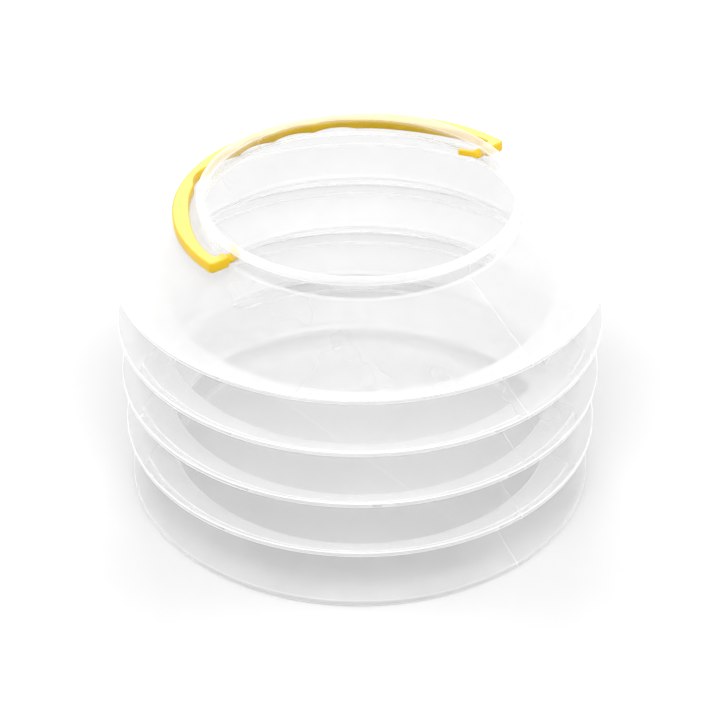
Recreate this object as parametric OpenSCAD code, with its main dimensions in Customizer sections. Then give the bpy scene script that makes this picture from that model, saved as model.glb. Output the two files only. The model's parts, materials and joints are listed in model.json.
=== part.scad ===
// Collapsible bellows bucket with a bail handle. Millimetres, +Z up.
// The origin is the centre of the underside, on the surface that the bucket stands on.
// The bail turns about a line along X, and lies over the shoulder on the +Y side at rest.

/* [Bellows] */
// Radius of the widest fold, at the foot of the shoulder
ridge_r = 130; // [126:0.5:134]
// How much smaller in radius each fold is than the one above it
ridge_taper = 0.75; // [0:0.05:1.5]
// Radius of the grooves between the folds
groove_r = 104; // [100:0.5:108]
// Height from one fold to the next
fold_pitch = 32.5; // [31:0.25:35]
// Height of a fold web, from its groove up to its ridge
web_drop = 14; // [12:0.25:15]
// Height of the flat edge round each ridge
ridge_flat = 2.4; // [1.6:0.1:3]
// Height of the lowest ridge above the floor
low_ridge_z = 36; // [34:0.25:38]
// Wall thickness of the moulding
wall = 1.2; // [1:0.05:1.5]

/* [Base] */
// Radius of the base edge
base_r = 125.3; // [120:0.1:127]
// Height of the upright edge round the base
foot_h = 3.5; // [2.5:0.1:5]
// Bevel under the base edge
foot_bevel = 0.6; // [0.2:0.1:1]
// Inner radius of the flat ring that the bucket stands on
standing_r = 107; // [90:1:115]
// How far the middle of the floor is lifted
floor_lift = 1.5; // [0.5:0.1:3]

/* [Neck] */
// Outer radius of the neck collar
collar_r = 83.2; // [82:0.1:84]
// Height of the foot of the collar
collar_z = 162.1; // [161:0.1:163]
// Radius of the round bead along the rim
bead_r = 2.25; // [2:0.05:2.4]
// Height of the middle of the bead
bead_z = 172.6; // [172.4:0.1:175]

/* [Bail handle] */
// Radius of the inner edge of the bail
bail_inner_r = 90; // [89:0.25:93]
// Width of the bail across its flat face
bail_w = 7.5; // [7:0.25:10]
// Thickness of the bail
bail_t = 5.5; // [4.5:0.25:5.5]
// Height of the pivot line
pivot_z = 166.7; // [166.5:0.1:167.5]
// Radius of the round pivot stems
stem_r = 2.4; // [2:0.05:2.5]
// Clearance of the stems in their holes, on the radius
stem_clearance = 0.08; // [0.02:0.01:0.1]
// Angle by which the bail hangs below level at rest
bail_droop = 3.4; // [3:0.1:3.4]
// Length of the bar of each hooked head, from the pivot line
head_l = 10.8; // [8:0.1:11]
// Angle by which the bar slants in, so that it passes the rim bead
head_slant = 30; // [25:1:35]
// Thickness of the bar
head_t = 2.4; // [2:0.1:2.8]
// Height of the bar
head_h = 3.2; // [2.6:0.1:4]
// Angle from one finger bump to the next
bump_pitch = 15; // [14:0.05:15]
// Depth of the finger grooves
groove_depth = 3; // [2:0.25:4]

/* [Hidden] */
$fn = 180;
fold_count = 4;
finger_count = 5;
// Gap between a fold web and the section below it
web_gap = 0.3;
// Flat seat on the collar's top edge, below the middle of the bead
bead_seat = 1.8;
// Room between the rim bead and the bail's corner blocks
corner_room = 0.7;
// Room between the inside of the collar and the hooked heads
head_room = 0.4;
// Half length of a corner block along the bail
corner_half = 2.9;

collar_top = bead_z - bead_seat;
bead_mid_r = collar_r - wall / 2;
bail_outer_r = bail_inner_r + bail_w;
head_x = collar_r - wall - head_room;
corner_x = bead_mid_r + bead_r + corner_room;
through = 1;

// Corners of the outer surface, from the base edge up to the rim, as [radius, height].
// Fold k has its groove at index 3k - 1 and the two edges of its ridge at 3k and 3k + 1.
function ridge_radius(k) = ridge_r - (fold_count - k) * ridge_taper;
function ridge_z(k) = low_ridge_z + (k - 1) * fold_pitch;
function fold_corners(k) = [
    [groove_r, ridge_z(k) - web_drop],
    [ridge_radius(k), ridge_z(k) - ridge_flat / 2],
    [ridge_radius(k), ridge_z(k) + ridge_flat / 2]
];
outline = concat(
    [[base_r, wall], [base_r, foot_h]],
    [for (k = [1:fold_count]) each fold_corners(k)],
    [[collar_r, collar_z], [collar_r, collar_top]]
);
top_corner = len(outline) - 1;
collar_corner = top_corner - 1;

// Outward normal of the stretch that starts at corner i.
function along(i) = (outline[i + 1] - outline[i]) / norm(outline[i + 1] - outline[i]);
function outward(i) = [along(i)[1], -along(i)[0]];
// Corner i of the inner surface, one wall thickness inside both stretches that meet there.
function mitre(a, b) = (a + b) / (1 + a * b);
function inner_corner(i) = outline[i] - wall * mitre(
    outward(max(i - 1, 0)),
    outward(min(i, top_corner - 1))
);
function between(a, b, part) = a + (b - a) * part;

// The stretch of wall from corner low to corner high, turned round the axis.
module wall_section(low, high) {
    outer_side = [for (i = [low:high]) outline[i]];
    inner_side = [for (i = [high:-1:low]) inner_corner(i)];
    rotate_extrude() polygon(concat(outer_side, inner_side));
}

module base_floor() {
    slope = 2 * floor_lift;
    color("whitesmoke") rotate_extrude() polygon([
        [0, floor_lift],
        [standing_r - slope, floor_lift],
        [standing_r, 0],
        [base_r - foot_bevel, 0],
        [base_r, foot_bevel],
        [base_r, wall],
        [standing_r, wall],
        [standing_r - slope, floor_lift + wall],
        [0, floor_lift + wall]
    ]);
}

module base_wall() {
    color("whitesmoke") wall_section(0, 2);
}

// The web of fold k, from just above its groove out to the lower edge of its ridge.
module fold_web(k) {
    low = 3 * k - 1;
    high = 3 * k;
    part = web_gap / norm(outline[high] - outline[low]);
    color("gainsboro") rotate_extrude() polygon([
        between(outline[low], outline[high], part),
        outline[high],
        inner_corner(high),
        between(inner_corner(low), inner_corner(high), part)
    ]);
}

// The ring above fold k: its ridge edge and the cone up to the next groove.
module ring(k) {
    color("whitesmoke") wall_section(3 * k, 3 * k + 2);
}

module shoulder_cone() {
    color("whitesmoke") wall_section(3 * fold_count, collar_corner);
}

module neck_collar() {
    hole_l = 2 * (collar_r + through);
    color("whitesmoke") difference() {
        wall_section(collar_corner, top_corner);
        translate([0, 0, pivot_z]) rotate([0, 90, 0])
            cylinder(r = stem_r + stem_clearance, h = hole_l, center = true);
    }
}

module rim_bead() {
    color("white") rotate_extrude() difference() {
        translate([bead_mid_r, bead_z]) circle(r = bead_r);
        translate([bead_mid_r - 2 * bead_r, collar_top - 2 * bead_r])
            square([4 * bead_r, 2 * bead_r]);
    }
}

// The flat half ring with the finger grooves in its inner edge.
module bail_band() {
    bump_chord = 2 * bail_inner_r * sin(bump_pitch / 2);
    scoop_r = (bump_chord * bump_chord / 4 + groove_depth * groove_depth) / (2 * groove_depth);
    scoop_x = bail_inner_r * cos(bump_pitch / 2) + groove_depth - scoop_r;
    first = 90 - (finger_count - 1) / 2 * bump_pitch;
    translate([0, 0, -bail_t / 2]) linear_extrude(bail_t) difference() {
        circle(r = bail_outer_r);
        circle(r = bail_inner_r);
        translate([-2 * bail_outer_r, -4 * bail_outer_r])
            square(4 * bail_outer_r);
        for (f = [0:finger_count - 1])
            rotate(first + f * bump_pitch) translate([scoop_x, 0]) circle(r = scoop_r);
    }
}

// The hooked head on the +X side: a bar that slants in from the end of the stem.
module hooked_head() {
    tip = head_l * [-sin(head_slant), cos(head_slant)];
    across = -head_t * [cos(head_slant), sin(head_slant)];
    foot = (stem_r + across[1]) * tan(head_slant);
    translate([head_x, 0, -head_h / 2]) linear_extrude(head_h) polygon([
        [0, -stem_r], [0, 0], tip, tip + across, [across[0] + foot, -stem_r]
    ]);
}

// The end of the bail on the +X side: corner block, round stem and hooked head.
module bail_end() {
    block_l = bail_outer_r - corner_x;
    stem_end = head_x - head_t;
    translate([corner_x, -corner_half, -bail_t / 2]) cube([block_l, corner_half, bail_t]);
    translate([corner_x, 0, -bail_t / 2]) cube([bail_inner_r - corner_x + through, corner_half, bail_t]);
    translate([stem_end, 0, 0]) rotate([0, 90, 0])
        cylinder(r = stem_r, h = corner_x - stem_end + through);
    hooked_head();
}

module bail_handle() {
    color("gold") translate([0, 0, pivot_z]) rotate([-bail_droop, 0, 0]) {
        bail_band();
        bail_end();
        mirror([1, 0, 0]) bail_end();
    }
}

base_floor();
base_wall();
fold_web(1);  // fold_web_1
ring(1);  // ring_1
fold_web(2);  // fold_web_2
ring(2);  // ring_2
fold_web(3);  // fold_web_3
ring(3);  // ring_3
fold_web(4);  // fold_web_4
shoulder_cone();
neck_collar();
rim_bead();
bail_handle();
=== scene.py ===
import json
import math

import bpy
import numpy as np
from mathutils import Matrix, Vector


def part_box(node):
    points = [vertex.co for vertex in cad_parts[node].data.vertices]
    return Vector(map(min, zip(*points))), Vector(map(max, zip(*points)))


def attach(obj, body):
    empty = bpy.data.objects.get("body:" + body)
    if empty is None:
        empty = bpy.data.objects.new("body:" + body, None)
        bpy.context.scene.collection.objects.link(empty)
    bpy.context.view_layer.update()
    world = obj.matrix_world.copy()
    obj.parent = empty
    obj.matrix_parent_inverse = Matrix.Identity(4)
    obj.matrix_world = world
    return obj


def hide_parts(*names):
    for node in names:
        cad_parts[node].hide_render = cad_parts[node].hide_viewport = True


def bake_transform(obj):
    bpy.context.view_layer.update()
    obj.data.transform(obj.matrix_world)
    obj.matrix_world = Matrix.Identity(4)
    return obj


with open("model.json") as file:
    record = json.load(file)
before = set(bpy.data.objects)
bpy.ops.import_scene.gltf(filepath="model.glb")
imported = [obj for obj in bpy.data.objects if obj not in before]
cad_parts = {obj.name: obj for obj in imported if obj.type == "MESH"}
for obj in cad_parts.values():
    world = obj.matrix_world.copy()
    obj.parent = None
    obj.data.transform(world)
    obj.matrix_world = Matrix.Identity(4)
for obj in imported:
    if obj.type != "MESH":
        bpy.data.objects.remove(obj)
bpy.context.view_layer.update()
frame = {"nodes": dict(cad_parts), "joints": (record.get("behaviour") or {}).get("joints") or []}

MM = 0.001

# ---------------------------------------------------------------- looks
# Milk is the share of light that the plastic scatters: 0 is clear and 1 is opaque. MILK is the plain
# skin's, MILK_EDGE is what is added where it is seen edge on, and the rest are added at named places.
MILK = 0.11
MILK_EDGE = 0.75
EDGE_POWER = 3              # how sharply that rises towards the edge
FLOOR_MILK = 0.16
FLOOR_BEND_MILK = FLOOR_MILK + 0.08
BASE_EDGE_MILK = 0.25
FOOT_EDGE_MILK = 0.15
FOOT_MILK = 0.1
GROOVE_MILK = 0.12
# painted light: the webs are made whiter to stand in for the light they catch from the floor below
WEB_PAINTED_BOUNCE_MILK = 0.1
# partly real, partly painted highlight: the rounded ridge edges are whiter for their thicker plastic and
# for a painted highlight along them
RIDGE_THICK_MILK_AND_HIGHLIGHT = 0.45
# painted highlight: a bright line painted along each hinge crease
CREASE_PAINTED_HIGHLIGHT = 0.4
SEAM_MILK = 0.1
SHOULDER_MILK = 0.05
NECK_BEND_MILK = 0.1
COLLAR_MILK = -0.105
BEAD_MILK = 0.12
WHITE = 0.93                # brightness of the scattered light
GLOW = 0.5                  # share of it that comes through from behind
CLEAR = 0.93                # brightness of what shows through one surface
HAZE = 1.1                  # blurred part of what shows through, for each unit of milk
HAZE_IOR = 1.1
HAZE_ROUGH = 0.6

TABLE = 0.5                 # how pale the floor is
WORLD = 0.9                 # strengths of the lights
TOP = 23
TOP_EL = 60                 # how high the top light stands, in degrees
BACK = 20
SIDE = 18
BOUNCES = 16                # enough for light to pass all the walls in its way

# ---------------------------------------------------------------- sizes
FADE = 0.35 * MM            # distance over which the milk of a rounded corner fades out
CREASE_HALF_W = 0.55 * MM
WALL = 1.2 * MM             # thickness of the blow-moulded skin
FOLDS = 4                   # fold webs, the lowest first
SEGMENTS = 240              # steps round the axis
ROUND_STEPS = 32            # steps round a stem or its hole
SEAM_H = 0.22 * MM          # height of the parting line that runs down both sides
SEAM_HALF_W = 0.45 * MM
SEAM_TURN = math.radians(2) # the parting line is not quite square to the pivots
SEAM_FAN = 0.012            # half angle of the finer steps at the parting line, in radians
SEAM_STEPS = 17
ARC_STEP = math.radians(15) # largest turn from one point of a rounded corner to the next
STRAIGHT_STEP = 3 * MM      # longest step along a straight stretch of an outline

BASE_BEVEL = 0.6 * MM
FOOT_H = 3.5 * MM           # upright edge round the base
FLOOR_LIFT = 1.5 * MM       # how far the middle of the floor is raised
STANDING_R = 107 * MM       # inner radius of the flat ring under the base
GROOVE_INSET = 1.5 * MM     # the sharp corner that a groove is rounded from lies this much inside its apex
RIDGE_FLAT = 2.4 * MM       # height of the flat edge round each ridge
RIDGE_ROUND = 0.45 * MM
GROOVE_ROUND = 2.0 * MM
CREASE_IN = 6.2 * MM        # hinge crease on a web, in from its ridge
CREASE_H = 0.35 * MM
BEAD_R = 2.25 * MM          # round bead along the rim

PIVOT = Vector(next(j for j in frame["joints"] if j["name"] == "bail_swing")["pos_m"])
DROOP = math.radians(3.4)   # the bail hangs this far below level
BAIL_T = 5.5 * MM
BAIL_IN_R = 90 * MM
BAIL_OUT_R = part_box("bail_handle")[1].x
BUMP_PITCH = math.radians(15)   # from one finger bump to the next
FINGERS = 5                 # finger grooves in the bail
FINGER_DEPTH = 3 * MM
FLANK_OUT = 1.2 * MM        # the inner edge comes in this much beside the finger grooves
END_IN = 2.6 * MM           # and goes out this much towards the arms
ARM_STEPS = 6               # steps round a corner of the arms and heads
RIM_STEPS = 4               # steps round the rim of a flat face
ARM_HALF = 2.9 * MM         # half width of the arm that turns in to the pivot
ARM_END = 85.55 * MM        # where the arm stops, short of the rim bead
STEM_R = 2.4 * MM
STEM_CLEARANCE = 0.08 * MM  # of the stems in their holes, on the radius
HEAD_ROOM = 0.4 * MM        # between the collar and the hooked heads
HEAD_L = 10.8 * MM          # length, thickness, height and slant of a hooked head's bar
HEAD_T = 2.4 * MM
HEAD_H = 3.2 * MM
HEAD_SLANT = math.radians(30)


# ---------------------------------------------------------------- frame corners
def end_corner(node, top):
    """[radius, height] of the outer corner at one end of a CAD wall section."""
    places = np.array([v.co for v in frame["nodes"][node].data.vertices])
    rz = np.column_stack([np.hypot(places[:, 0], places[:, 1]), places[:, 2]])
    end = rz[:, 1].max() if top else rz[:, 1].min()
    near = rz[np.abs(rz[:, 1] - end) < WALL]
    return near[near[:, 0].argmax()]


BASE_R = float(end_corner("base_floor", False)[0]) + BASE_BEVEL
GROOVES = [end_corner("base_wall", True)] + [end_corner(f"ring_{k}", True) for k in (1, 2, 3)]
RIDGES = [end_corner(f"ring_{k}", False) for k in (1, 2, 3)] + [end_corner("shoulder_cone", False)]
COLLAR = end_corner("shoulder_cone", True)
RIM_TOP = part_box("rim_bead")[1].z
BEAD_Z = RIM_TOP - BEAD_R
BEAD_MID_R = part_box("rim_bead")[1].x - BEAD_R


def linked(name, data):
    """A new object that shows some data, linked to the scene."""
    thing = bpy.data.objects.new(name, data)
    bpy.context.scene.collection.objects.link(thing)
    return thing


# ---------------------------------------------------------------- outlines
def arc(a, b, c, radius, steps=0):
    """Points of the arc that rounds the corner b between a and c."""
    a, b, c = (np.array(p, float) for p in (a, b, c))
    u, v = (a - b) / np.linalg.norm(a - b), (c - b) / np.linalg.norm(c - b)
    half = math.acos(np.clip(u @ v, -1, 1)) / 2
    cut = radius / math.tan(half)
    centre = b + (u + v) / np.linalg.norm(u + v) * radius / math.sin(half)
    first, last = b + u * cut - centre, b + v * cut - centre
    turn = math.atan2(first[0] * last[1] - first[1] * last[0], first @ last)
    steps = steps or max(2, math.ceil(abs(turn) / ARC_STEP))
    points = []
    for t in np.linspace(0, turn, steps + 1):
        c_, s_ = math.cos(t), math.sin(t)
        points.append(centre + np.array([first[0] * c_ - first[1] * s_, first[0] * s_ + first[1] * c_]))
    return points


def rounded(corners):
    """An outline as rows of [radius, height, milk], with every corner rounded.
    Each corner is (point, rounding radius, milk on the rounding, milk on the stretch after it)."""
    places = [c[0] for c in corners]
    flats = [c[3] for c in corners]
    out = [np.array([*places[0], flats[0]], float)]

    def stretch(p, milk, from_arc, to_arc):
        start, p = out[-1][:2].copy(), np.array(p, float)
        length = np.linalg.norm(p - start)
        n = max(1, math.ceil(length / STRAIGHT_STEP))
        stops = list(np.arange(1, n) / n)
        if from_arc:
            stops.append(min(0.3, FADE / length))
        if to_arc:
            stops.append(max(0.7, 1 - FADE / length))
        for t in sorted(stops):
            out.append(np.array([*(start + (p - start) * t), milk]))

    for i in range(1, len(corners) - 1):
        radius, on_arc = corners[i][1:3]
        bend = arc(*places[i - 1:i + 2], radius)
        stretch(bend[0], flats[i - 1], i > 1, True)
        out.extend(np.array([*spot, on_arc]) for spot in bend)
    stretch(places[-1], flats[-2], len(corners) > 2, False)
    out.append(np.array([*places[-1], flats[-2]]))
    return np.array(out)


def outward(outline):
    """Unit normals of an outline that runs up the outside, pointing away from the inside."""
    d = np.gradient(outline[:, :2], axis=0)
    d /= np.linalg.norm(d, axis=1)[:, None]
    return np.column_stack([d[:, 1], -d[:, 0]])


def angles():
    """Steps round the axis, closer together at the two parting lines."""
    even = np.arange(SEGMENTS) * 2 * math.pi / SEGMENTS
    fine = SEAM_TURN + np.linspace(-SEAM_FAN, SEAM_FAN, SEAM_STEPS)
    every = np.concatenate([even, fine + math.pi / 2, fine - math.pi / 2]) % (2 * math.pi)
    return np.unique(np.round(every, 6))


def seam(r, a):
    """How far into the parting line the angles a are at radius r, from 0 to 1."""
    off = np.abs(np.mod(a - SEAM_TURN, math.pi) - math.pi / 2) * r
    return np.exp(-((off / SEAM_HALF_W) ** 2))


def turned(name, outline, closed=False):
    """A smooth mesh made by turning an outline round Z, with its normals outward.
    Its attribute "milk" says how much whiter than plain the plastic is made at each point, including
    painted highlights and painted bounce light."""
    a = angles()
    normal = outward(outline)
    points, point_milk_and_painted_light, rings, faces = [], [], [], []
    for (r, z, milk), (nr, nz) in zip(outline, normal):
        line = seam(r, a)
        lift = SEAM_H * line * min(max(nr + 0.2, 0), 1)
        rr, zz = r + lift * nr, z + lift * nz
        if r < 1e-7:
            rings.append([len(points)] * len(a))
            points.append((0, 0, z))
            point_milk_and_painted_light.append(milk)
            continue
        rings.append(list(range(len(points), len(points) + len(a))))
        points.extend(zip(rr * np.cos(a), rr * np.sin(a), zz))
        point_milk_and_painted_light.extend(milk + SEAM_MILK * line)
    count = len(rings) if closed else len(rings) - 1
    for i in range(count):
        low, high = rings[i], rings[(i + 1) % len(rings)]
        for j in range(len(a)):
            k = (j + 1) % len(a)
            faces.append(list(dict.fromkeys([low[j], low[k], high[k], high[j]])))
    mesh = bpy.data.meshes.new(name)
    mesh.from_pydata([tuple(map(float, p)) for p in points], [], faces)
    layer = mesh.attributes.new("milk", "FLOAT", "POINT")
    layer.data.foreach_set("value", np.array(point_milk_and_painted_light, dtype=np.float32))
    mesh.validate()
    mesh.shade_smooth()
    return linked(name, mesh)


def skin(piece):
    """Gives a turned sheet its wall, on the inside."""
    wall = piece.modifiers.new("wall", "SOLIDIFY")
    wall.thickness = WALL
    wall.offset = -1
    wall.use_even_offset = False
    wall.use_quality_normals = True
    return piece


# ---------------------------------------------------------------- materials
def node_material(name):
    mat = bpy.data.materials.new(name)
    mat.use_nodes = True
    tree = mat.node_tree
    tree.nodes.clear()
    return mat, tree


def milky_plastic():
    """Thin milky polyethylene: clear enough to see through, and whiter where it is thick or seen aslant,
    with painted highlights on the ridges and creases and painted bounce light on the webs.
    """
    mat, tree = node_material("milky_polyethylene")
    new, link = tree.nodes.new, tree.links.new
    out = new("ShaderNodeOutputMaterial")
    coord = new("ShaderNodeTexCoord")

    cloud = new("ShaderNodeTexNoise")
    cloud.inputs["Scale"].default_value = 14
    cloud.inputs["Detail"].default_value = 3
    link(coord.outputs["Object"], cloud.inputs["Vector"])
    milk = new("ShaderNodeMapRange")
    milk.inputs["From Min"].default_value = 0.3
    milk.inputs["From Max"].default_value = 0.7
    milk.inputs["To Min"].default_value = MILK * 0.8
    milk.inputs["To Max"].default_value = MILK * 1.2
    link(cloud.outputs["Fac"], milk.inputs["Value"])

    # the "milk" attribute, which holds painted highlights on the ridges and creases and painted bounce
    # light on the webs
    more = new("ShaderNodeAttribute")
    more.attribute_name = "milk"
    skin_milk_and_painted_light = new("ShaderNodeMath")
    skin_milk_and_painted_light.operation = "ADD"
    skin_milk_and_painted_light.use_clamp = True
    link(milk.outputs["Result"], skin_milk_and_painted_light.inputs[0])
    link(more.outputs["Fac"], skin_milk_and_painted_light.inputs[1])

    aslant = new("ShaderNodeLayerWeight")
    aslant.inputs["Blend"].default_value = 0.5
    edge = new("ShaderNodeMath")
    edge.operation = "POWER"
    edge.inputs[1].default_value = EDGE_POWER
    link(aslant.outputs["Facing"], edge.inputs[0])
    share = new("ShaderNodeMath")
    share.operation = "MULTIPLY_ADD"
    share.inputs[1].default_value = MILK_EDGE
    link(edge.outputs["Value"], share.inputs[0])
    link(skin_milk_and_painted_light.outputs["Value"], share.inputs[2])

    grain = new("ShaderNodeTexNoise")
    grain.inputs["Scale"].default_value = 900
    grain.inputs["Detail"].default_value = 2
    link(coord.outputs["Object"], grain.inputs["Vector"])
    bump = new("ShaderNodeBump")
    bump.inputs["Strength"].default_value = 0.04
    bump.inputs["Distance"].default_value = 0.0002
    link(grain.outputs["Fac"], bump.inputs["Height"])

    front = new("ShaderNodeBsdfPrincipled")
    front.inputs["Base Color"].default_value = (WHITE, WHITE, WHITE, 1)
    front.inputs["Roughness"].default_value = 0.3
    link(bump.outputs["Normal"], front.inputs["Normal"])
    glow = new("ShaderNodeBsdfTranslucent")
    glow.inputs["Color"].default_value = (WHITE, WHITE, WHITE, 1)
    body = new("ShaderNodeMixShader")
    body.inputs["Fac"].default_value = GLOW
    link(front.outputs["BSDF"], body.inputs[1])
    link(glow.outputs["BSDF"], body.inputs[2])

    through = new("ShaderNodeBsdfTransparent")
    through.inputs["Color"].default_value = (CLEAR, CLEAR, CLEAR, 1)
    haze = new("ShaderNodeBsdfRefraction")
    haze.inputs["Color"].default_value = (CLEAR, CLEAR, CLEAR, 1)
    haze.inputs["Roughness"].default_value = HAZE_ROUGH
    haze.inputs["IOR"].default_value = HAZE_IOR
    plain = new("ShaderNodeMath")
    plain.operation = "MINIMUM"
    link(skin_milk_and_painted_light.outputs["Value"], plain.inputs[0])
    link(milk.outputs["Result"], plain.inputs[1])
    blur = new("ShaderNodeMath")
    blur.operation = "MULTIPLY"
    blur.use_clamp = True
    blur.inputs[1].default_value = HAZE
    link(plain.outputs["Value"], blur.inputs[0])
    sight = new("ShaderNodeMixShader")
    link(blur.outputs["Value"], sight.inputs["Fac"])
    link(through.outputs["BSDF"], sight.inputs[1])
    link(haze.outputs["BSDF"], sight.inputs[2])
    mix = new("ShaderNodeMixShader")
    link(share.outputs["Value"], mix.inputs["Fac"])
    link(sight.outputs["Shader"], mix.inputs[1])
    link(body.outputs["Shader"], mix.inputs[2])
    link(mix.outputs["Shader"], out.inputs["Surface"])
    return mat


def yellow_plastic():
    mat, tree = node_material("yellow_moulded_plastic")
    new, link = tree.nodes.new, tree.links.new
    out = new("ShaderNodeOutputMaterial")
    coord = new("ShaderNodeTexCoord")
    flow = new("ShaderNodeTexNoise")
    flow.inputs["Scale"].default_value = 45
    flow.inputs["Detail"].default_value = 4
    link(coord.outputs["Object"], flow.inputs["Vector"])
    tint = new("ShaderNodeValToRGB")
    tint.color_ramp.elements[0].position = 0.3
    tint.color_ramp.elements[0].color = (0.52, 0.33, 0.002, 1)
    tint.color_ramp.elements[1].position = 0.7
    tint.color_ramp.elements[1].color = (0.57, 0.365, 0.003, 1)
    link(flow.outputs["Fac"], tint.inputs["Fac"])
    grain = new("ShaderNodeTexNoise")
    grain.inputs["Scale"].default_value = 1400
    link(coord.outputs["Object"], grain.inputs["Vector"])
    bump = new("ShaderNodeBump")
    bump.inputs["Strength"].default_value = 0.08
    bump.inputs["Distance"].default_value = 0.0001
    link(grain.outputs["Fac"], bump.inputs["Height"])
    shader = new("ShaderNodeBsdfPrincipled")
    shader.inputs["Roughness"].default_value = 0.36
    shader.inputs["Specular IOR Level"].default_value = 0.3
    link(tint.outputs["Color"], shader.inputs["Base Color"])
    link(bump.outputs["Normal"], shader.inputs["Normal"])
    link(shader.outputs["BSDF"], out.inputs["Surface"])
    return mat


def floor_material():
    mat, tree = node_material("pale_floor")
    new, link = tree.nodes.new, tree.links.new
    out = new("ShaderNodeOutputMaterial")
    coord = new("ShaderNodeTexCoord")
    uneven = new("ShaderNodeTexNoise")
    uneven.inputs["Scale"].default_value = 3
    link(coord.outputs["Object"], uneven.inputs["Vector"])
    tone = new("ShaderNodeValToRGB")
    tone.color_ramp.elements[0].color = (TABLE * 0.99, TABLE * 0.99, TABLE * 0.99, 1)
    tone.color_ramp.elements[1].color = (TABLE * 1.01, TABLE * 1.01, TABLE * 1.01, 1)
    link(uneven.outputs["Fac"], tone.inputs["Fac"])
    shader = new("ShaderNodeBsdfPrincipled")
    link(tone.outputs["Color"], shader.inputs["Base Color"])
    shader.inputs["Roughness"].default_value = 0.9
    shader.inputs["Specular IOR Level"].default_value = 0.1
    link(shader.outputs["BSDF"], out.inputs["Surface"])
    return mat


# ---------------------------------------------------------------- pieces of the bellows
def groove_point(k):
    """The sharp corner that the groove under fold k is rounded from."""
    r, z = GROOVES[k]
    return [r - GROOVE_INSET, z]


def inner_side(points):
    """The corners one wall thickness inside an outline's corners."""
    p = np.array(points, float)
    d = np.diff(p, axis=0)
    d /= np.linalg.norm(d, axis=1)[:, None]
    n = np.column_stack([d[:, 1], -d[:, 0]])
    before, after = np.vstack([n[:1], n]), np.vstack([n, n[-1:]])
    dot = np.sum(before * after, axis=1)[:, None]
    return p - WALL * (before + after) / (1 + dot)


# The whole outer skin, from the middle of the floor to the collar:
# (corner, rounding radius, milk on the rounding, milk on the stretch after it).
SKIN = [
    ([0, FLOOR_LIFT], 0, 0, FLOOR_MILK),
    ([STANDING_R - 3 * FLOOR_LIFT, FLOOR_LIFT], 4 * MM, FLOOR_BEND_MILK, FLOOR_MILK),
    ([STANDING_R, 0], 2 * MM, FLOOR_BEND_MILK, FLOOR_MILK),
    ([BASE_R, 0], 0.9 * MM, BASE_EDGE_MILK, FOOT_MILK),
    ([BASE_R, FOOT_H], 0.8 * MM, FOOT_EDGE_MILK, FOOT_MILK),
]
for k in range(FOLDS):
    ridge = RIDGES[k]
    # the web stretch carries the painted bounce light
    SKIN.append((groove_point(k), GROOVE_ROUND, GROOVE_MILK, WEB_PAINTED_BOUNCE_MILK))
    # ridge edge roundings: thicker plastic and painted highlight
    SKIN.append(([ridge[0], ridge[1]], RIDGE_ROUND, RIDGE_THICK_MILK_AND_HIGHLIGHT, 0))
    above = SHOULDER_MILK if k == FOLDS - 1 else 0
    SKIN.append(([ridge[0], ridge[1] + RIDGE_FLAT], RIDGE_ROUND, RIDGE_THICK_MILK_AND_HIGHLIGHT, above))
SKIN.append(([COLLAR[0], COLLAR[1]], 1.2 * MM, NECK_BEND_MILK, COLLAR_MILK))
SKIN.append(([COLLAR[0], BEAD_Z - BEAD_R], 0, 0, COLLAR_MILK))

OUTER = rounded(SKIN)


def nearest(point):
    """Index of the outline point nearest to a corner."""
    return int(np.argmin(np.linalg.norm(OUTER[:, :2] - np.array(point), axis=1)))


GROOVE_AT = [nearest(groove_point(k)) for k in range(FOLDS)]
RIDGE_AT = [nearest(RIDGES[k]) for k in range(FOLDS)]


def base_shell():
    """Floor, base edge and the wall up to the lowest groove."""
    return skin(turned("base_shell", OUTER[:GROOVE_AT[0] + 1]))


def ring_shell(k):
    """Ridge edge and cone above fold k, up to the next groove."""
    return skin(turned(f"ring_shell_{k + 1}", OUTER[RIDGE_AT[k]:GROOVE_AT[k + 1] + 1]))


def web_shell(k):
    """The web of fold k, with the hinge crease near its ridge."""
    part = OUTER[GROOVE_AT[k]:RIDGE_AT[k] + 1]
    reach = RIDGES[k][0] - CREASE_IN
    near = [np.argmax(part[:, 0] > reach - 3 * MM), np.argmax(part[:, 0] > reach + 3 * MM)]
    a, b = part[near[0]], part[near[1]]
    steps = np.linspace(0, 1, 25)[1:-1]
    fine = a + (b - a) * steps[:, None]
    part = np.vstack([part[:near[0] + 1], fine, part[near[1]:]])
    hump = np.exp(-(((part[:, 0] - reach) / CREASE_HALF_W) ** 2))
    part[:, :2] -= outward(part) * (hump * CREASE_H)[:, None]
    # painted highlight along the hinge crease
    part[:, 2] += CREASE_PAINTED_HIGHLIGHT * hump
    return skin(turned(f"web_shell_{k + 1}", part))


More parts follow.
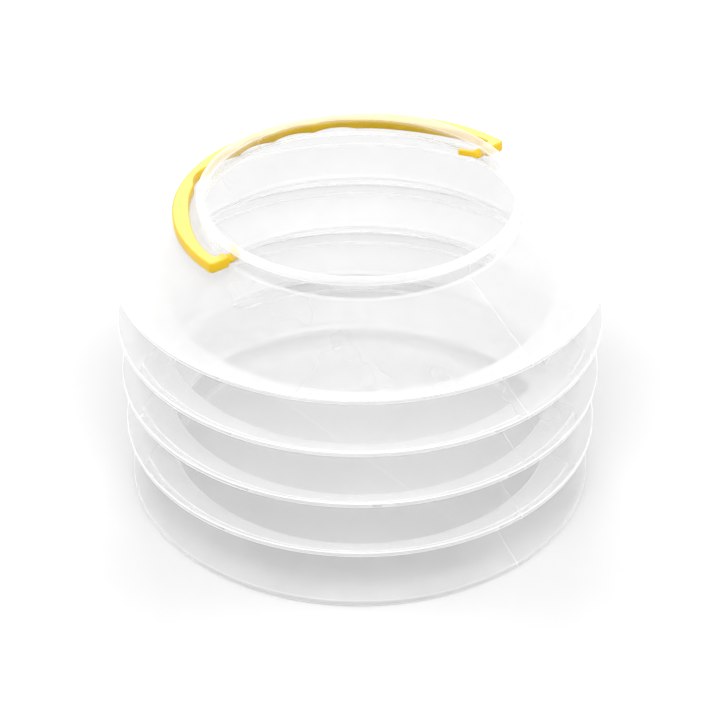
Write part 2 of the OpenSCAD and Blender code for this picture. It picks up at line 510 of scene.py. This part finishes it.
def neck_shell():
    """Shoulder, collar and rim bead in one turned section."""
    outer = OUTER[RIDGE_AT[-1]:]
    join = math.asin((COLLAR[0] - BEAD_MID_R) / BEAD_R)
    sweep = np.linspace(-math.pi / 2 + join, 3 * math.pi / 2 - join, 30)
    bead = np.column_stack([
        BEAD_MID_R + BEAD_R * np.cos(sweep),
        BEAD_Z + BEAD_R * np.sin(sweep),
        np.full(len(sweep), BEAD_MILK),
    ])
    ridge_r, ridge_z = RIDGES[-1]
    corners = [[ridge_r, ridge_z], [ridge_r, ridge_z + RIDGE_FLAT], COLLAR, [COLLAR[0], BEAD_Z - BEAD_R]]
    inside = inner_side([groove_point(FOLDS - 1)] + corners)[1:]
    inside = rounded([
        (inside[3], 0, 0, COLLAR_MILK),
        (inside[2], 1.8 * MM, NECK_BEND_MILK, SHOULDER_MILK),
        # inner ridge rounding: thicker plastic and painted highlight
        (inside[1], 0.3 * MM, RIDGE_THICK_MILK_AND_HIGHLIGHT, 0),
        (inside[0], 0, 0, 0),
    ])
    loop = np.vstack([outer[:-1], bead, inside[1:]])
    return turned("neck_shell", loop, closed=True)


# ---------------------------------------------------------------- bail
def inner_radius(beta):
    """Inner radius of the bail at an angle beta from its middle."""
    reach = FINGERS * BUMP_PITCH / 2
    off = abs(beta)
    if off < reach:
        phase = ((beta + reach) / BUMP_PITCH) % 1
        return BAIL_IN_R + FINGER_DEPTH * (1 - (2 * phase - 1) ** 2)
    lean = min((off - reach) / math.radians(20), 1)
    wide = min(max((off - math.radians(60)) / math.radians(26), 0), 1)
    return BAIL_IN_R - FLANK_OUT * lean * lean * (3 - 2 * lean) + END_IN * wide * wide * (3 - 2 * wide)


def bail_outline():
    """The bail seen square on, as a closed loop of points with its pivot line along X."""
    half = []
    betas = np.linspace(0, math.pi / 2, 260)[:-1]
    half.extend([BAIL_OUT_R * math.sin(b), BAIL_OUT_R * math.cos(b)] for b in betas)
    low, top = -ARM_HALF, ARM_HALF
    inner = inner_radius(math.pi / 2)
    half.extend(arc([BAIL_OUT_R, 0], [BAIL_OUT_R, low], [ARM_END, low], 2.2 * MM, ARM_STEPS))
    half.extend(arc([BAIL_OUT_R, low], [ARM_END, low], [ARM_END, top], 2.0 * MM, ARM_STEPS))
    half.extend(arc([ARM_END, low], [ARM_END, top], [inner, top], 1.4 * MM, ARM_STEPS))
    half.extend(arc([ARM_END, top], [inner, top], [inner, top + 9 * MM], 1.5 * MM, ARM_STEPS))
    start = math.asin((top + 3 * MM) / inner)
    inside = np.linspace(math.pi / 2 - start, 0, 420)
    radii = np.array([inner_radius(b) for b in inside])
    kernel = np.exp(-((np.arange(-6, 7) / 2.6) ** 2))
    padded = np.concatenate([radii[:1].repeat(6), radii, radii[-7:-1][::-1]])
    radii = np.convolve(padded, kernel / kernel.sum(), "valid")
    half.extend([r * math.sin(b), r * math.cos(b)] for r, b in zip(radii, inside))
    right = np.array(half)
    left = right[1:-1][::-1] * [-1, 1]
    return np.vstack([right, left])[::-1]


def shrunk(loop, by):
    """A closed anticlockwise loop moved inward by a distance."""
    ahead, behind = np.roll(loop, -1, axis=0), np.roll(loop, 1, axis=0)
    d = ahead - behind
    d /= np.linalg.norm(d, axis=1)[:, None]
    return loop + by * np.column_stack([-d[:, 1], d[:, 0]])


def add_loops(points, faces, rows):
    """Joins rows of points, each a closed loop of the same length, into a closed tube."""
    start, n = len(points), len(rows[0])
    for row in rows:
        points.extend(tuple(map(float, p)) for p in row)
    for i in range(len(rows) - 1):
        for j in range(n):
            k = (j + 1) % n
            low, high = start + i * n, start + (i + 1) * n
            faces.append([low + j, low + k, high + k, high + j])
    faces.append([start + j for j in range(n)][::-1])
    faces.append([start + (len(rows) - 1) * n + j for j in range(n)])


def slab_rows(loop, half_t, rounding):
    """Rows for a flat slab on a loop, with rounded rims top and bottom."""
    rows = []
    for side in (-1, 1):
        part = [(rounding + 0.25 * MM, side * half_t)]
        for i in range(RIM_STEPS + 1):
            t = i / RIM_STEPS * math.pi / 2
            part.append((rounding * (1 - math.sin(t)), side * (half_t - rounding * (1 - math.cos(t)))))
        if side > 0:
            part = part[::-1]
        for by, z in part:
            flat = shrunk(loop, by)
            rows.append(np.column_stack([flat, np.full(len(flat), z)]))
    return rows


def bail():
    """The whole bail: band with finger grooves, turned-in arms, stems and hooked heads."""
    points, faces = [], []
    add_loops(points, faces, slab_rows(bail_outline(), BAIL_T / 2, 0.7 * MM))
    head_x = COLLAR[0] - WALL - HEAD_ROOM
    turn = np.arange(ROUND_STEPS) * 2 * math.pi / ROUND_STEPS
    for side in (1, -1):
        stem = []
        for x, r in (
            (ARM_END + 2 * MM, STEM_R), (ARM_END - 0.6 * MM, STEM_R), (head_x, STEM_R),
            (head_x - HEAD_T + 0.6 * MM, STEM_R), (head_x - HEAD_T + 0.15 * MM, 0.93 * STEM_R),
            (head_x - HEAD_T, 0.75 * STEM_R),
        ):
            stem.append([(side * x, -side * r * math.cos(a), r * math.sin(a)) for a in turn])
        add_loops(points, faces, [row[::-1] for row in stem])
        tip = HEAD_L * np.array([-math.sin(HEAD_SLANT), math.cos(HEAD_SLANT)])
        across = -HEAD_T * np.array([math.cos(HEAD_SLANT), math.sin(HEAD_SLANT)])
        foot = (STEM_R + across[1]) * math.tan(HEAD_SLANT)
        corners = [[0, -STEM_R], [0, 0], tip, tip + across, [across[0] + foot, -STEM_R]]
        sizes = [0.8 * MM, 0.8 * MM, 1.0 * MM, 1.0 * MM, 0.8 * MM]
        loop = []
        for i in range(5):
            loop.extend(arc(corners[i - 1], corners[i], corners[(i + 1) % 5], sizes[i], ARM_STEPS))
        loop = (np.array(loop) + [head_x, 0]) * [side, 1]
        if side < 0:
            loop = loop[::-1]
        add_loops(points, faces, slab_rows(loop, HEAD_H / 2, 0.5 * MM))
    mesh = bpy.data.meshes.new("bail")
    mesh.from_pydata(points, [], faces)
    mesh.validate()
    mesh.transform(Matrix.Translation(PIVOT) @ Matrix.Rotation(-DROOP, 4, "X"))
    mesh.shade_smooth()
    return linked("bail", mesh)


def pierce(piece):
    """Cuts the two round holes for the bail's stems, straight through the collar."""
    points, faces = [], []
    r, turn = STEM_R + STEM_CLEARANCE, np.arange(ROUND_STEPS) * 2 * math.pi / ROUND_STEPS
    circle = [(r * math.cos(a), PIVOT.z + r * math.sin(a)) for a in turn]
    end = COLLAR[0] + WALL
    add_loops(points, faces, [[(x, y, z) for y, z in circle] for x in (-end, end)])
    mesh = bpy.data.meshes.new("stem_line")
    mesh.from_pydata(points, [], faces)
    cutter = linked("stem_line", mesh)
    cut = piece.modifiers.new("stem_holes", "BOOLEAN")
    cut.operation, cut.solver, cut.object = "DIFFERENCE", "EXACT", cutter
    bpy.context.view_layer.update()
    solid = piece.evaluated_get(bpy.context.evaluated_depsgraph_get())
    holed = bpy.data.meshes.new_from_object(solid)
    piece.modifiers.clear()
    piece.data = holed
    holed.set_sharp_from_angle(angle=math.radians(50))
    bpy.data.objects.remove(cutter)


# ---------------------------------------------------------------- camera, light and floor
def make_camera():
    azimuth, elevation = math.radians(-38.95), math.radians(35.2)
    target, distance = Vector((0, 0, 67.1 * MM)), 1304 * MM
    back = Vector((
        math.sin(azimuth) * math.cos(elevation),
        -math.cos(azimuth) * math.cos(elevation),
        math.sin(elevation),
    ))
    data = bpy.data.cameras.new("camera")
    data.lens, data.sensor_width = 120, 36
    data.clip_start, data.clip_end = 0.05, 50
    camera = linked("camera", data)
    camera.location = target + back * distance
    camera.rotation_mode = "QUATERNION"
    camera.rotation_quaternion = (-back).to_track_quat("-Z", "Y")
    bpy.context.scene.camera = camera


def area_light(name, azimuth, elevation, distance, size, power):
    """A soft square light that faces the bucket's middle."""
    a, e = math.radians(azimuth), math.radians(elevation)
    way = Vector((math.sin(a) * math.cos(e), -math.cos(a) * math.cos(e), math.sin(e)))
    data = bpy.data.lights.new(name, "AREA")
    data.size, data.energy = size, power
    light = linked(name, data)
    light.location = Vector((0, 0, 0.08)) + way * distance
    light.rotation_mode = "QUATERNION"
    light.rotation_quaternion = (-way).to_track_quat("-Z", "Y")


def studio():
    world = bpy.data.worlds.new("studio")
    bpy.context.scene.world = world
    world.use_nodes = True
    world.node_tree.nodes["Background"].inputs["Color"].default_value = (1, 1, 1, 1)
    world.node_tree.nodes["Background"].inputs["Strength"].default_value = WORLD
    area_light("top", -41, TOP_EL, 1.6, 0.9, TOP)
    area_light("back", 142, 31, 2.0, 1.0, BACK)
    area_light("left", -131, 20, 1.8, 0.9, SIDE)
    area_light("right", 49, 20, 1.8, 0.9, SIDE)
    floor_mesh = bpy.data.meshes.new("floor")
    reach = 6
    corners = [(-reach, -reach, 0), (reach, -reach, 0), (reach, reach, 0), (-reach, reach, 0)]
    floor_mesh.from_pydata(corners, [], [[0, 1, 2, 3]])
    floor = linked("floor", floor_mesh)
    floor.location.z = -0.3 * MM
    floor.data.materials.append(floor_material())
    bpy.context.scene.view_settings.view_transform = "Standard"
    bpy.context.scene.cycles.transparent_max_bounces = 32
    bpy.context.scene.cycles.max_bounces = BOUNCES
    bpy.context.scene.cycles.transmission_bounces = BOUNCES


# ---------------------------------------------------------------- assembly
make_camera()
studio()

MILKY = milky_plastic()
YELLOW = yellow_plastic()


def finish_piece(piece, material, slot, *nodes):
    piece.data.materials.clear()
    piece.data.materials.append(material)
    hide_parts(*nodes)


base = base_shell()
finish_piece(base, MILKY, "milky_plastic", "base_floor", "base_wall")
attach(base, "base")

BODY = ["base", "tier_1", "tier_2", "tier_3", "neck"]
for k in range(FOLDS):
    web = web_shell(k)
    finish_piece(web, MILKY, "milky_plastic", f"fold_web_{k + 1}")
    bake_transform(web)
for k in range(FOLDS - 1):
    ring = ring_shell(k)
    finish_piece(ring, MILKY, "milky_plastic", f"ring_{k + 1}")
    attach(ring, BODY[k + 1])

neck = neck_shell()
pierce(neck)
finish_piece(neck, MILKY, "milky_plastic", "shoulder_cone", "neck_collar", "rim_bead")
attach(neck, "neck")

handle = bail()
finish_piece(handle, YELLOW, "yellow_plastic", "bail_handle")
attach(handle, "bail")
